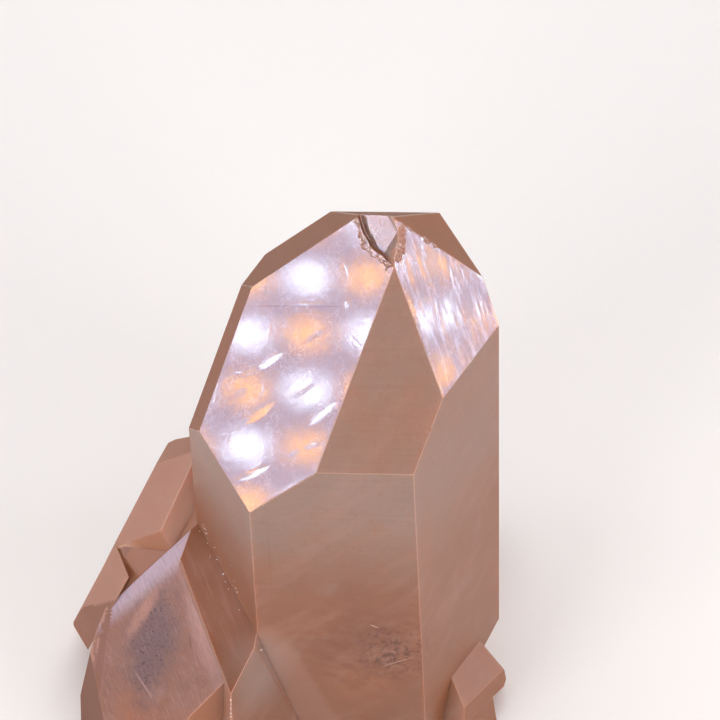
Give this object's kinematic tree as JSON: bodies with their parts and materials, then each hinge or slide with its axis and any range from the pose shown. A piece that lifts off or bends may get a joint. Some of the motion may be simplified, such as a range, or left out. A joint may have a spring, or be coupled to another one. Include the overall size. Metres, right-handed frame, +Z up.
{
  "type": "quartz crystal",
  "caption": "Milky rose-brown quartz: a stout six-sided prism with a broken point, smaller crystals grown together round its foot, cut flat underneath.",
  "frame": {"origin": "middle of the outline box of the flat cut under the foot", "axes": "+Z up along the long axis of the large crystal, -Y towards the front with the narrow middle tip face, +X to the right"},
  "size_m": [0.0462, 0.0404, 0.0752],
  "materials": {
    "quartz": "glossy growth faces, milky and tinted inside, rough where broken"
  },
  "bodies": {
    "root": {"quartz_crystal": "quartz"}
  },
  "joints": []
}
